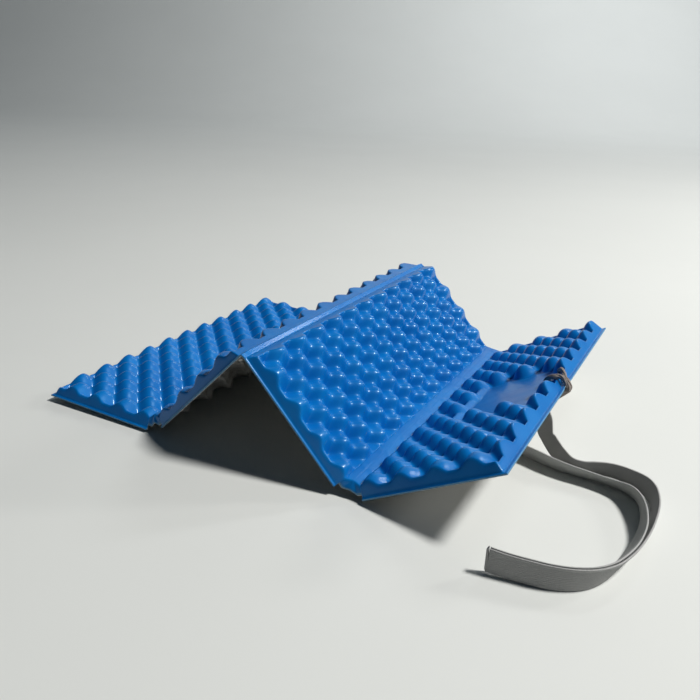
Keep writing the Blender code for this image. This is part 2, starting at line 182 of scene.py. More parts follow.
PLY_B_ROUTE = (
    ((0.1596, -0.0095, 0.0290), (0.05, 1.00, 0.00)),
    ((0.1576, -0.0088, 0.0228), (0.05, 0.99, 0.10)),
    ((0.1556, -0.0078, 0.0162), (0.05, 0.92, 0.38)),
    ((0.1535, -0.0068, 0.0095), (0.02, 0.75, 0.66)),
    ((0.1450, -0.0070, 0.0030), (-0.02, 0.38, 0.92)),
    ((0.1395, -0.0115, 0.0008), (-0.08, 0.08, 0.99)),
    ((0.1398, -0.0180, 0.0004), (-0.08, -0.10, 0.99)),
    ((0.1455, -0.0232, 0.0004), (0.00, -0.28, 0.96)),
    ((0.1525, -0.0255, 0.0004), (0.00, -0.42, 0.91)),
    ((0.1620, -0.0280, 0.0004), (0.00, -0.49, 0.87)),
    ((0.1735, -0.0314, 0.0004), (0.00, -0.51, 0.86)),
    ((0.1860, -0.0345, 0.0004), (0.00, -0.56, 0.83)),
    ((0.1980, -0.0356, 0.0004), (0.00, -0.62, 0.79)),
    ((0.2090, -0.0352, 0.0004), (0.00, -0.67, 0.74)),
    ((0.2185, -0.0357, 0.0004), (-0.05, -0.69, 0.72)),
    ((0.2275, -0.0377, 0.0004), (-0.12, -0.66, 0.74)),
    ((0.2358, -0.0420, 0.0004), (-0.24, -0.54, 0.81)),
    ((0.2412, -0.0485, 0.0004), (-0.28, -0.36, 0.89)),
    ((0.2444, -0.0572, 0.0004), (-0.20, -0.16, 0.96)),
    ((0.2460, -0.0675, 0.0004), (-0.02, -0.05, 1.00)),
    ((0.2462, -0.0790, 0.0004), (0.20, 0.00, 0.98)),
    ((0.2450, -0.0930, 0.0004), (0.42, -0.02, 0.91)),
    ((0.2427, -0.1086, 0.0004), (0.50, -0.08, 0.86)),
    ((0.2399, -0.1220, 0.0004), (0.46, -0.15, 0.87)),
    ((0.2365, -0.1351, 0.0004), (0.34, -0.20, 0.92)),
    ((0.2315, -0.1455, 0.0004), (0.18, -0.18, 0.97)),
    ((0.2236, -0.1535, 0.0004), (0.05, -0.10, 0.99)),
    ((0.2136, -0.1584, 0.0004), (0.00, -0.03, 1.00)),
    ((0.2027, -0.1606, 0.0004), (0.00, 0.00, 1.00)),
    ((0.1912, -0.1623, 0.0008), (0.00, 0.00, 1.00)),
    ((0.1808, -0.1634, 0.0016), (0.00, 0.00, 1.00)),
)
# The strap through its slots and round panel 4's lip: (s, y, n)
HITCH_ROUTE = (
    (0.0255, -0.0024, -0.0068),
    (0.0130, -0.0034, -0.0056),
    (0.0060, -0.0032, -0.0036),
    (0.0014, -0.0030, -0.0018),
    (-0.0006, -0.0029, -0.0014),
    (-0.0013, -0.0028, 0.0002),
    (-0.0009, -0.0016, 0.0034),
    (0.0010, 0.0015, 0.0054),
    (0.0024, 0.0070, 0.0075),
    (0.0052, 0.0130, 0.0090),
    (0.0085, 0.0178, 0.0068),
    (0.0100, 0.0190, 0.0020),
    (0.0102, 0.0184, -0.0030),
    (0.0120, 0.0140, -0.0058),
    (0.0145, 0.0080, -0.0062),
    (0.0163, 0.0040, -0.0040),
    (0.0165, 0.0030, 0.0010),
    (0.0155, 0.0022, 0.0064),
    (0.0115, 0.0006, 0.0088),
    (0.0065, -0.0022, 0.0092),
    (0.0030, -0.0018, 0.0084),
    (0.0004, -0.0034, 0.0062),
    (-0.0010, -0.0052, 0.0034),
    (-0.0013, -0.0057, 0.0002),
    (-0.0006, -0.0059, -0.0014),
    (0.0014, -0.0062, -0.0018),
    (0.0060, -0.0070, -0.0032),
    (0.0152, -0.0080, -0.0062),
)


# ---------------------------------------------------------------- shader helpers


class Shader:
    """A material's node tree, with short calls for the nodes that this file uses."""

    def __init__(self, name):
        self.material = bpy.data.materials.new(name)
        self.material.use_nodes = True
        self.tree = self.material.node_tree
        self.principled = self.tree.nodes["Principled BSDF"]

    def set(self, **values):
        """Principled values by socket name, with underscores for spaces."""
        for key, value in values.items():
            self.principled.inputs[key.replace("_", " ")].default_value = value

    def node(self, kind, **settings):
        made = self.tree.nodes.new(kind)
        for key, value in settings.items():
            setattr(made, key, value)
        return made

    def link(self, source, target):
        self.tree.links.new(source, target)

    def place(self, source="Object", scale=(1, 1, 1)):
        """Texture coordinates, stretched by scale."""
        coordinates = self.node("ShaderNodeTexCoord")
        mapping = self.node("ShaderNodeMapping")
        mapping.inputs["Scale"].default_value = scale
        self.link(coordinates.outputs[source], mapping.inputs["Vector"])
        return mapping.outputs["Vector"]

    def noise(self, vector, scale, detail=3.0, roughness=0.5, distortion=0.0):
        made = self.node("ShaderNodeTexNoise")
        made.inputs["Scale"].default_value = scale
        made.inputs["Detail"].default_value = detail
        made.inputs["Roughness"].default_value = roughness
        made.inputs["Distortion"].default_value = distortion
        self.link(vector, made.inputs["Vector"])
        return made.outputs["Fac"]

    def cells(self, vector, scale, feature="F1"):
        made = self.node("ShaderNodeTexVoronoi", feature=feature)
        made.inputs["Scale"].default_value = scale
        self.link(vector, made.inputs["Vector"])
        return made.outputs["Distance"]

    def stripes(self, vector, scale, direction="X", distortion=0.0):
        made = self.node("ShaderNodeTexWave", wave_type="BANDS", bands_direction=direction)
        made.inputs["Scale"].default_value = scale
        made.inputs["Distortion"].default_value = distortion
        self.link(vector, made.inputs["Vector"])
        return made.outputs["Fac"]

    def span(self, value, low, high, to_low=0.0, to_high=1.0):
        made = self.node("ShaderNodeMapRange", interpolation_type="SMOOTHSTEP")
        made.inputs["From Min"].default_value = low
        made.inputs["From Max"].default_value = high
        made.inputs["To Min"].default_value = to_low
        made.inputs["To Max"].default_value = to_high
        self.link(value, made.inputs["Value"])
        return made.outputs["Result"]

    def math(self, operation, first, second):
        made = self.node("ShaderNodeMath", operation=operation)
        for socket, value in zip(made.inputs, (first, second)):
            if isinstance(value, (int, float)):
                socket.default_value = value
            else:
                self.link(value, socket)
        return made.outputs["Value"]

    def mix(self, factor, first, second, kind="MIX"):
        made = self.node("ShaderNodeMix", data_type="RGBA", blend_type=kind)
        for name, value in (("Factor", factor), ("A", first), ("B", second)):
            sockets = [i for i in made.inputs if i.name == name]
            socket = sockets[0] if name == "Factor" else sockets[2]
            if isinstance(value, (int, float)):
                socket.default_value = value
            elif isinstance(value, tuple):
                socket.default_value = (*value, 1.0)
            else:
                self.link(value, socket)
        return made.outputs[2]

    def bump(self, height, strength, distance, below=None):
        made = self.node("ShaderNodeBump")
        made.inputs["Strength"].default_value = strength
        made.inputs["Distance"].default_value = distance
        self.link(height, made.inputs["Height"])
        if below is not None:
            self.link(below, made.inputs["Normal"])
        return made.outputs["Normal"]

    def finish(self, color=None, roughness=None, normal=None):
        for value, name in ((color, "Base Color"), (roughness, "Roughness"), (normal, "Normal")):
            if value is not None:
                self.link(value, self.principled.inputs[name])
        return self.material


def skin_material():
    """Blue foam skin: satin, with fine cells under it and faint clouding in the colour."""
    shader = Shader("blue_foam_skin")
    shader.set(Specular_IOR_Level=0.36, Coat_Weight=0.30, Coat_Roughness=0.12, Coat_IOR=1.45)
    shader.set(Specular_Tint=(0.45, 0.80, 1.0, 1.0))
    place = shader.place()
    cloud = shader.noise(place, 38.0, 4.0, 0.55)
    color = shader.mix(shader.span(cloud, 0.3, 0.7), (0.0005, 0.138, 0.470), (0.001, 0.172, 0.530))
    grain = shader.noise(place, 1900.0, 2.0, 0.6)
    orange = shader.noise(place, 520.0, 2.0, 0.5)
    roughness = shader.span(shader.noise(place, 90.0, 3.0), 0.3, 0.7, 0.33, 0.43)
    normal = shader.bump(grain, 0.10, 0.0002)
    normal = shader.bump(orange, 0.14, 0.0004, normal)
    return shader.finish(color, roughness, normal)


def cut_material():
    """The cut edge of the foam: porous and paler than the skin, but darker than the real pale cut, as painted
    shade for the shadow under the lips.
    """
    shader = Shader("cut_foam_edge_painted_shade")
    place = shader.place()
    pores = shader.cells(place, 2400.0)
    # darkened colours: painted shade standing for the shadow under the lips
    color = shader.mix(shader.span(pores, 0.1, 0.7), (0.02, 0.13, 0.30), (0.12, 0.30, 0.46))
    normal = shader.bump(pores, 0.5, 0.0003)
    shader.set(Roughness=0.75)
    return shader.finish(color, None, normal)


def foil_material():
    """Aluminised film: bright metal with crinkles and duller patches where it is rubbed."""
    shader = Shader("aluminised_foil")
    shader.set(Metallic=0.88)
    place = shader.place()
    patches = shader.noise(place, 60.0, 5.0, 0.6)
    color = shader.mix(shader.span(patches, 0.35, 0.7), (0.62, 0.61, 0.59), (0.42, 0.40, 0.37))
    roughness = shader.span(patches, 0.3, 0.7, 0.30, 0.48)
    crinkle = shader.cells(place, 230.0, "SMOOTH_F1")
    fine = shader.noise(place, 900.0, 3.0, 0.6, 0.8)
    normal = shader.bump(crinkle, 0.55, 0.0012)
    normal = shader.bump(fine, 0.25, 0.0004, normal)
    return shader.finish(color, roughness, normal)


def elastic_material(name, dark, light):
    """Woven elastic: ribs along the band, fine weft across it, and a soft fuzz."""
    shader = Shader(name)
    shader.set(Roughness=0.82, Sheen_Weight=0.25, Sheen_Roughness=0.5, Specular_IOR_Level=0.25)
    place = shader.place("UV")
    ribs = shader.stripes(place, 10.4, "Y", 0.5)
    weft = shader.stripes(place, 17.0, "X", 1.2)
    mottle = shader.noise(shader.place("UV", (1.0, 6.0, 1.0)), 9.0, 4.0, 0.65)
    knit = shader.math("MULTIPLY", ribs, weft)
    shade = shader.math("ADD", shader.math("MULTIPLY", knit, 0.45), shader.math("MULTIPLY", mottle, 0.75))
    color = shader.mix(shader.span(shade, 0.25, 0.85), dark, light)
    normal = shader.bump(weft, 0.25, 0.0002)
    normal = shader.bump(ribs, 0.35, 0.0003, normal)
    return shader.finish(color, None, normal)


def floor_material():
    """Pale paper floor with very faint mottling."""
    shader = Shader("pale_floor")
    place = shader.place()
    cloud = shader.noise(place, 2.2, 5.0, 0.6)
    color = shader.mix(shader.span(cloud, 0.3, 0.7), (0.715, 0.73, 0.705), (0.73, 0.745, 0.72))
    shader.set(Roughness=0.9, Specular_IOR_Level=0.2)
    return shader.finish(color, None, shader.bump(shader.noise(place, 700.0, 2.0), 0.05, 0.0003))


# ---------------------------------------------------------------- panel shape


def smoothstep(value):
    value = np.clip(value, 0.0, 1.0)
    return value * value * (3 - 2 * value)


def soft_min(a, b, width):
    """The lower of two heights, with the corner between them rounded."""
    near = np.clip(width - np.abs(a - b), 0.0, None)
    return np.minimum(a, b) - near * near / (4 * width)


def soft_max(a, b, width):
    return -soft_min(-a, -b, width)


def stretched_ends(position, first, length):
    """Slows the wave between each end and its first bump, so that the end bumps reach the wall."""
    low = np.where(position < first, first - (first - position) * END_STRETCH, position)
    last = length - first
    return np.where(low > last, last + (low - last) * END_STRETCH, low)


def dome(away, radius):
    """Height of one plump bump at a distance from its centre."""
    turn = np.clip(away / radius, 0, 1) * pi / 2
    return PIT + (PEAK - PIT) * np.cos(turn) ** DOME_POWER


def off_centre(position, first, pitch):
    """Distance to the nearest of a row of evenly spaced centres."""
    return (position - first + pitch / 2) % pitch - pitch / 2


def egg_crate(s, u, number):
    """Two staggered sets of plump domes, evened out by the smooth wave that joins them."""
    u = stretched_ends(u, FIRST_BUMP, PANEL_LENGTH)
    turn_s = 2 * pi * (s - FIRST_ROW) / ROW_PITCH
    turn_u = 2 * pi * (u - FIRST_BUMP) / BUMP_PITCH
    wave = PIT + (PEAK - PIT) * ((1 - np.cos(turn_s) * np.cos(turn_u)) / 2) ** WAVE_POWER
    sets = []
    for shift in (0.0, 0.5):
        away_s = off_centre(s, FIRST_ROW + shift * ROW_PITCH, ROW_PITCH)
        away_u = off_centre(u, FIRST_BUMP + (0.5 - shift) * BUMP_PITCH, BUMP_PITCH)
        sets.append(dome(np.hypot(away_s, away_u), DOME_RADIUS))
    domes = soft_max(sets[0], sets[1], CREASE_WIDTH)
    return domes + (wave - domes) * WAVE_SHARES[number] * smoothstep((s - 0.003) / 0.010)


def unevenness(s, u, seed):
    """Slow, slight differences in height that pressing leaves."""
    return 0.00016 * (
        np.sin(71 * s + 43 * u + 1.7 * seed)
        + np.sin(133 * s - 61 * u + 2.9 * seed)
        + np.sin(-37 * s + 112 * u + 0.6 * seed)
    )


def bump_places():
    """Every bump's centre: (row, s, y)."""
    places = []
    for row in range(8):
        s = FIRST_ROW + row * ROW_PITCH / 2
        start = FIRST_BUMP + (0.0 if row % 2 else BUMP_PITCH / 2)
        for number in range(11):
            places.append((row, s, start + number * BUMP_PITCH - PANEL_LENGTH / 2))
    return places


def in_field(row, y):
    return FIELD_ROWS[0] <= row <= FIELD_ROWS[1] and abs(y) < FIELD_HALF_LENGTH


def with_field(height, s, u):
    """Panel 4's surface: bumps removed for the smooth field, with the ledge on its valley side."""
    y = u - PANEL_LENGTH / 2
    ledge_start, ledge_end, ledge_rise = FIELD_LEDGE
    floor = FIELD_HEIGHT + ledge_rise * smoothstep((s - ledge_start) / (ledge_end - ledge_start))
    scratch = np.exp(-(((y - 0.010 - 0.12 * (s - 0.04)) / 0.0005) ** 2))
    floor = floor - 0.00018 * scratch * smoothstep((0.062 - s) / 0.01)
    bumps = floor
    for row, bump_s, bump_y in bump_places():
        if abs(bump_y) > FIELD_HALF_LENGTH + 0.035 or in_field(row, bump_y):
            continue
        away = np.hypot(s - bump_s, y - bump_y)
        bumps = soft_max(bumps, dome(away, FIELD_DOME_RADIUS), CREASE_WIDTH)
    inside_s = np.minimum(s - FIRST_ROW, FIRST_ROW + 6 * ROW_PITCH / 2 - s)
    inside_y = FIELD_HALF_LENGTH + 0.0125 - np.abs(y)
    weight = smoothstep(np.minimum(inside_s / 0.006, inside_y / 0.010))
    height = height + (bumps - height) * weight
    away = np.hypot(s - PINCHED_BUMP[0], (y - PINCHED_BUMP[1]) * 0.9)
    squeeze = smoothstep((PINCHED_RADIUS + 0.004 - away) / 0.005)
    height = height + (np.minimum(height, PINCHED_HEIGHT) - height) * squeeze
    for hole_s, hole_y in HOLES:
        away = np.hypot(s - hole_s, y - hole_y)
        height = height - 0.0035 * np.exp(-((away / 0.0024) ** 2))
    return height


def top_height(s, u, number):
    """Height of the skin over panel coordinates s and u, in arrays of one shape."""
    end = np.minimum(u, PANEL_LENGTH - u)
    height = egg_crate(s, u, number) + unevenness(s, u, number)
    if number == 4:
        height = with_field(height, s, u)
    rim = END_RIM_HEIGHT - np.clip(end - RIM_WIDTH, 0.0, None) * RIM_FALL
    height = soft_max(height, rim, 0.0016)
    rim = SIDE_RIM_HEIGHT - np.clip(s - RIM_WIDTH, 0.0, None) * RIM_FALL
    height = soft_max(height, rim, 0.0016)
    from_crest = PANEL_WIDTH - s
    height = soft_min(height, CREST + from_crest * CREST_LIMIT, CREST_CORNER)
    height = soft_max(height, CREST - from_crest * CREST_FALL, CREST_CORNER)
    side_wall = LIP_TOP + (s - SIDE_LIPS[number]) * SIDE_SLOPES[number]
    end_wall = LIP_TOP + (end - END_LIP) * WALL_SLOPE
    height = soft_min(height, end_wall, END_CORNER)
    height = soft_min(height, side_wall, SIDE_CORNERS[number])
    corner = EDGE_SOFTNESS
    if number in (2, 3):
        away = smoothstep((0.008 - s) / 0.004) * smoothstep((end - 0.003) / 0.004)
        corner = EDGE_SOFTNESS + (LIP_CORNER - EDGE_SOFTNESS) * away
    return soft_max(height, np.full_like(height, LIP_TOP), corner)


def thickness(s, u):
    edge = np.minimum(s, np.minimum(u, PANEL_LENGTH - u))
    grow = smoothstep((edge - END_LIP) / 0.0035)
    return LIP_THICKNESS + (FOAM_THICKNESS - LIP_THICKNESS) * grow


def lines(start, end, fine_start, fine_end):
    """Mesh lines from start to end: fine steps near the ends asked for, coarser ones between."""
    first = start + EDGE_ZONE if fine_start else start
    last = end - EDGE_ZONE if fine_end else end
    parts = []
    if fine_start:
        parts.append(np.linspace(start, first, round(EDGE_ZONE / EDGE_STEP), endpoint=False))
    parts.append(np.linspace(first, last, round((last - first) / BUMP_STEP), endpoint=not fine_end))
    if fine_end:
        parts.append(np.linspace(last, end, round(EDGE_ZONE / EDGE_STEP) + 1))
    return np.concatenate(parts)


# ---------------------------------------------------------------- places


def joint_places():
    """The three fold axes' places, as (x, z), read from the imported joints."""
    places = {joint["name"]: joint["pos_m"] for joint in frame["joints"]}
    return [(places[f"fold_{k}"][0], places[f"fold_{k}"][2]) for k in (1, 2, 3)]


def panel_frames():
    """For each panel: its fold axis in the object, its own axis point, its angle, and which way s runs."""
    valley_1, ridge, valley_2 = joint_places()
    axes = {mount["name"]: mount["axis"] for mount in frame["record"]["mounts"]}
    run = VALLEY_AXIS[0] - RIDGE_AXIS[0]
    offset = VALLEY_AXIS[1] - RIDGE_AXIS[1]
    rise_2 = atan2(ridge[1] - valley_1[1], ridge[0] - valley_1[0]) + atan2(offset, run)
    fall_3 = atan2(ridge[1] - valley_2[1], valley_2[0] - ridge[0]) + atan2(offset, run)
    tilt_1 = atan2(axes["resting_lip"][0], axes["resting_lip"][2])
    rise_4 = atan2(-axes["label_field"][0], axes["label_field"][2])
    angle_1 = pi - abs(tilt_1)
    return {
        1: (valley_1, VALLEY_AXIS, -angle_1, 1),
        2: (valley_1, VALLEY_AXIS, rise_2, -1),
        3: (ridge, RIDGE_AXIS, -fall_3, 1),
        4: (valley_2, VALLEY_AXIS, rise_4, -1),
    }


PANELS = panel_frames()


def to_object(number, s, u, n):
    """Panel coordinates to the object's frame, as an array of points."""
    pivot, axis, angle, way = PANELS[number]
    x = (s - axis[0]) * way
    z = n - axis[1]
    return np.stack(
        [
            pivot[0] + x * cos(angle) - z * sin(angle),
            u - PANEL_LENGTH / 2,
            pivot[1] + x * sin(angle) + z * cos(angle),
        ],
        axis=-1,
    )


def pinched(number, s, u, n):
    """Panel 4's lip, drawn in a little where the strap grips it."""
    if number != 4:
        return s, n
    y = u - PANEL_LENGTH / 2
    grip = np.exp(-(((y - PINCH_Y) / PINCH_REACH) ** 2)) * smoothstep((0.014 - s) / 0.012)
    return s + PINCH_DEPTH * grip, n + 0.0008 * grip


# ---------------------------------------------------------------- meshes


def sheet_mesh(name, upper, lower, materials):
    """A closed sheet from two grids of points. Material 0 is its upper side, 1 its edge, 2 its lower side."""
    rows, columns = upper.shape[:2]
    count = rows * columns
    points = np.concatenate([upper.reshape(-1, 3), lower.reshape(-1, 3)])
    index = np.arange(count).reshape(rows, columns)
    a, b = index[:-1, :-1].ravel(), index[1:, :-1].ravel()
    c, d = index[1:, 1:].ravel(), index[:-1, 1:].ravel()
    top = np.stack([a, b, c, d], axis=1)
    bottom = np.stack([d, c, b, a], axis=1) + count
    loop = np.concatenate([index[:, 0], index[-1, 1:], index[-2::-1, -1], index[0, -2:0:-1]])
    after = np.roll(loop, -1)
    side = np.stack([after, loop, loop + count, after + count], axis=1)
    faces = np.concatenate([top, bottom, side])
    slots = np.repeat([0, 2, 1], [len(top), len(bottom), len(side)])
    mesh = bpy.data.meshes.new(name)
    mesh.from_pydata(points.tolist(), [], faces.tolist())
    made = bpy.data.objects.new(name, mesh)
    bpy.context.scene.collection.objects.link(made)
    for material in materials:
        mesh.materials.append(material)
    mesh.polygons.foreach_set("material_index", slots.astype(np.int32))
    mesh.polygons.foreach_set("use_smooth", (slots != 1).tolist())
    face_outward(made)
    return made


def face_outward(made):
    """Turns every face to the outside, by the sign of the mesh's volume."""
    mesh = made.data
    mesh.update()
    mesh.calc_loop_triangles()
    corners = np.zeros(len(mesh.loop_triangles) * 3, np.int32)
    mesh.loop_triangles.foreach_get("vertices", corners)
    points = np.zeros(len(mesh.vertices) * 3, np.float32)
    mesh.vertices.foreach_get("co", points)
    a, b, c = points.reshape(-1, 3)[corners].reshape(-1, 3, 3).transpose(1, 0, 2)
    if np.einsum("ij,ij->i", a, np.cross(b, c)).sum() < 0:
        mesh.flip_normals()
    mesh.update()


def round_the_lip(number, s, u, height):
    """Lowers the outermost half millimetre of the skin, so that the cut edge isn't a knife."""
    edge = np.minimum(u, PANEL_LENGTH - u)
    if number in (1, 4):
        edge = np.minimum(s, edge)
    inside = np.clip(1 - edge / LIP_ROUNDING, 0, 1)
    return height - 0.45 * LIP_ROUNDING * (1 - np.sqrt(1 - inside**2))


def panel_layers(number, s_lines, u_lines):
    """Grids of points for the skin, the foam's underside, and the foil's two sides."""
    s, u = np.meshgrid(s_lines, u_lines, indexing="ij")
    height = top_height(s, u, number)
    under = height - thickness(s, u)
    levels = (
        round_the_lip(number, s, u, height),
        under,
        under - FOIL_GAP,
        under - FOIL_GAP - FOIL_THICKNESS,
    )
    layers = []
    for n, inset in zip(levels, (0.0, 0.0, FOIL_INSET, FOIL_INSET)):
        drawn_u = u + inset * (np.clip(1 - u / 0.003, 0, 1) - np.clip(1 - (PANEL_LENGTH - u) / 0.003, 0, 1))
        drawn_s = s if number in (2, 3) else s + inset * np.clip(1 - s / 0.003, 0, 1)
        moved_s, moved_n = pinched(number, drawn_s, drawn_u, n)
        layers.append(to_object(number, moved_s, drawn_u, moved_n))
    return layers


def make_panel(number, skin, cut, foil):
    s_lines = lines(0.0, PANEL_WIDTH - VALLEY_STRIP, True, True)
    if number in (2, 3):
        s_lines = s_lines[s_lines >= RIDGE_STRIP - 1e-9]
    u_lines = lines(0.0, PANEL_LENGTH, True, True)
    layers = panel_layers(number, s_lines, u_lines)
    foam = sheet_mesh(f"panel_{number}_egg_crate", layers[0], layers[1], (skin, cut, cut))
    film = sheet_mesh(f"panel_{number}_foil", layers[2], layers[3], (foil, foil, foil))
    for piece, node, slot in ((foam, "foam", "foam"), (film, "film", "film")):
        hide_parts(f"panel_{number}_{node}")
        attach(piece, f"panel_{number}")


def crease_layers(left, right, valley, u_lines, half, bead):
    """Grids across a fold: one panel's edge, the corner at the fold line, then the other's edge."""
    if valley:
        own = np.linspace(PANEL_WIDTH - VALLEY_STRIP, PANEL_WIDTH + 0.0005, 8)
    else:
        own = np.linspace(RIDGE_STRIP, 0.0, 4)
    start = panel_layers(left, own, u_lines)
    end = panel_layers(right, own[::-1], u_lines)
    axis_x, axis_z = half
    layers = []
    for level, (near, far) in enumerate(zip(start, end)):
        from_axis = near[-1] - (axis_x, 0.0, axis_z)
        to_axis = far[0] - (axis_x, 0.0, axis_z)
        angle_a = np.arctan2(from_axis[:, 2], from_axis[:, 0])
        angle_b = np.arctan2(to_axis[:, 2], to_axis[:, 0])
        angle = angle_a + ((angle_b - angle_a + pi) % (2 * pi) - pi) / 2
        reach = np.hypot(from_axis[:, 0], from_axis[:, 2]) + np.hypot(to_axis[:, 0], to_axis[:, 2])
        reach = reach / 2 * (WEB_CORNER if valley else RIDGE_CORNER)
        outward = np.stack([np.cos(angle), 0 * angle, np.sin(angle)], axis=-1)
        corner = outward * reach[:, None] + (axis_x, 0.0, axis_z)
        corner[:, 1] = near[-1][:, 1]
        arc = []
        for k in range(1, STRIP_ARC_STEPS):
            share = 2 * k / STRIP_ARC_STEPS
            point = near[-1] + (corner - near[-1]) * share
            if share > 1:
                point = corner + (far[0] - corner) * (share - 1)
            swell = bead * np.exp(-(((share - 1) / 0.3) ** 2)) * (1 if level == 0 else 0.3)
            arc.append(point + outward * swell * (-1 if valley else 1))
        layers.append(np.concatenate([near, np.stack(arc), far]))
    return layers


def make_crease(number, skin, cut, foil):
    """The foam and foil that bend at a fold, blended between its two panels."""
    valley = number != 2
    axis = joint_places()[number - 1]
    u_lines = lines(0.0, PANEL_LENGTH, True, True)
    if valley:
        wall_foot = END_LIP + (NOTCH_LEVEL - LIP_TOP) / WALL_SLOPE
        keep = (u_lines >= wall_foot) & (u_lines <= PANEL_LENGTH - wall_foot)
        u_lines = np.concatenate([[wall_foot], u_lines[keep], [PANEL_LENGTH - wall_foot]])
    bead = VALLEY_BEAD if valley else RIDGE_BEAD
    layers = crease_layers(number, number + 1, valley, u_lines, axis, bead)
    foam = sheet_mesh(f"crease_{number}_foam", layers[0], layers[1], (skin, cut, cut))
    film = sheet_mesh(f"crease_{number}_foil", layers[2], layers[3], (foil, foil, foil))
    for piece, slot in ((foam, "foam"), (film, "film")):
        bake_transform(piece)
    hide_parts(f"fold_crease_{number}")


# ---------------------------------------------------------------- strap


def smooth_curve(points, step):
    """Points at even steps along a Catmull-Rom curve through rows of numbers, by their first three."""
    points = np.asarray(points, float)
    dense = []
    for k in range(len(points) - 1):
        before, start, end = points[max(k - 1, 0)], points[k], points[k + 1]
        after = points[min(k + 2, len(points) - 1)]
        t = (np.arange(24) / 24)[:, None]
        dense.append(
            0.5
            * (
                2 * start
                + (end - before) * t
                + (2 * before - 5 * start + 4 * end - after) * t**2
                + (3 * start - before - 3 * end + after) * t**3
            )
        )
    dense = np.concatenate([*dense, points[-1:]])
    travelled = np.concatenate([[0], np.cumsum(np.linalg.norm(np.diff(dense[:, :3], axis=0), axis=1))])
    even = np.linspace(0, travelled[-1], max(2, round(travelled[-1] / step)) + 1)
    return np.stack([np.interp(even, travelled, dense[:, i]) for i in range(dense.shape[1])], axis=1), even


def unit(vectors):
    return vectors / np.linalg.norm(vectors, axis=-1, keepdims=True)


def loft(name, rings, material, along=None, across=None):
    """A closed tube through rings of points, with flat ends and, if asked, UVs in centimetres."""
    count, sides = rings.shape[:2]
    index = np.arange(count * sides).reshape(count, sides)
    following = np.roll(index, -1, axis=1)
    faces = np.stack([index[:-1], following[:-1], following[1:], index[1:]], axis=-1).reshape(-1, 4)
    mesh = bpy.data.meshes.new(name)
    ends = [index[0][::-1].tolist(), index[-1].tolist()]
    mesh.from_pydata(rings.reshape(-1, 3).tolist(), [], faces.tolist() + ends)
    mesh.materials.append(material)
    mesh.polygons.foreach_set("use_smooth", [True] * len(faces) + [False] * 2)
    if along is not None:
        layer = mesh.uv_layers.new(name="along_and_across")
        vertices = np.zeros(len(mesh.loops), np.int32)
        mesh.loops.foreach_get("vertex_index", vertices)
        uv = np.stack([along[vertices // sides], across[vertices % sides]], axis=1) * 100
        layer.data.foreach_set("uv", uv.astype(np.float32).ravel())
    made = bpy.data.objects.new(name, mesh)
    bpy.context.scene.collection.objects.link(made)
    face_outward(made)
    return made


def band_section(half_width):
    """One side-to-side trip round a band: ribbed faces and rounded edges, as (across, up, ribs)."""
    across = np.linspace(-1, 1, 6 * STRAP_RIBS + 1)
    ribs = np.cos(across * pi * STRAP_RIBS)
    taper = np.clip((1 - np.abs(across)) * half_width / (STRAP_THICKNESS / 2), 0, 1)
    up = np.sqrt(1 - (1 - taper) ** 2)
    section_across = np.concatenate([across, across[-2:0:-1]])
    section_up = np.concatenate([up, -up[-2:0:-1]])
    section_ribs = np.concatenate([ribs, -ribs[-2:0:-1]])
    return section_across, section_up, section_ribs


def make_ply(name, route, material):
    """A ribbed elastic band that follows the CAD's route, bunched where it leaves the hitch."""
    rows = []
    for edge, lean in route:
        lean = Vector(lean).normalized()
        rows.append((*(Vector(edge) + lean * STRAP_WIDTH / 2), *lean))
    path, travelled = smooth_curve(rows, STRAP_STEP)
    centre, across = path[:, :3], unit(path[:, 3:])
    along = unit(np.gradient(centre, axis=0))
    across = unit(across - along * np.sum(across * along, axis=1, keepdims=True))
    normal = np.cross(along, across)
    spread = smoothstep(travelled / STRAP_SPREAD_LENGTH)
    half = (STRAP_BUNCHED_WIDTH + (STRAP_WIDTH - STRAP_BUNCHED_WIDTH) * spread) / 2
    section_across, section_up, section_ribs = band_section(STRAP_WIDTH / 2)
    folds = (1 - spread)[:, None] * 0.0011 * np.sin(section_across * 9.0)[None, :]
    lift = section_up[None, :] * STRAP_THICKNESS / 2 + folds
    lift = lift + np.sign(section_up)[None, :] * RIB_DEPTH * section_ribs[None, :] * np.abs(section_up)
    rings = (
        centre[:, None, :]
        + across[:, None, :] * (half[:, None] * section_across[None, :])[:, :, None]
        + normal[:, None, :] * lift[:, :, None]
    )
    band = loft(name, rings, material, travelled, section_across * STRAP_WIDTH / 2)
    return band, centre, travelled[-1]


def make_hitch(material):
    """The strap bunched into a pleated cord, through the slots and round the lip."""
    route = np.array(HITCH_ROUTE)
    points = to_object(4, route[:, 0], route[:, 1] + PANEL_LENGTH / 2, route[:, 2])
    centre, travelled = smooth_curve(points, 0.0007)
    along = unit(np.gradient(centre, axis=0))
    side = np.cross(along, (0.0, 1.0, 0.02))
    side = unit(side)
    up = np.cross(along, side)
    turn = np.linspace(0, 2 * pi, 40, endpoint=False)
    twist = 1.3 * np.sin(travelled * 110) + 0.8 * np.sin(travelled * 47 + 1)
    angle = turn[None, :] + twist[:, None]
    pleats = 1 + 0.20 * np.cos(5 * turn)[None, :] + 0.07 * np.cos(11 * turn + 1)[None, :]
    radius = 0.0014 * (1 + 0.10 * np.sin(travelled * 260))[:, None] * pleats
    wide, flat = 1.10, 0.90
    rings = (
        centre[:, None, :]
        + side[:, None, :] * (radius * np.cos(angle) * wide)[:, :, None]
        + up[:, None, :] * (radius * np.sin(angle) * flat)[:, :, None]
    )
    hitch = loft("strap_hitch_bunched", rings, material, travelled, turn * 0.0017)
    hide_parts("strap_hitch")
    return hitch


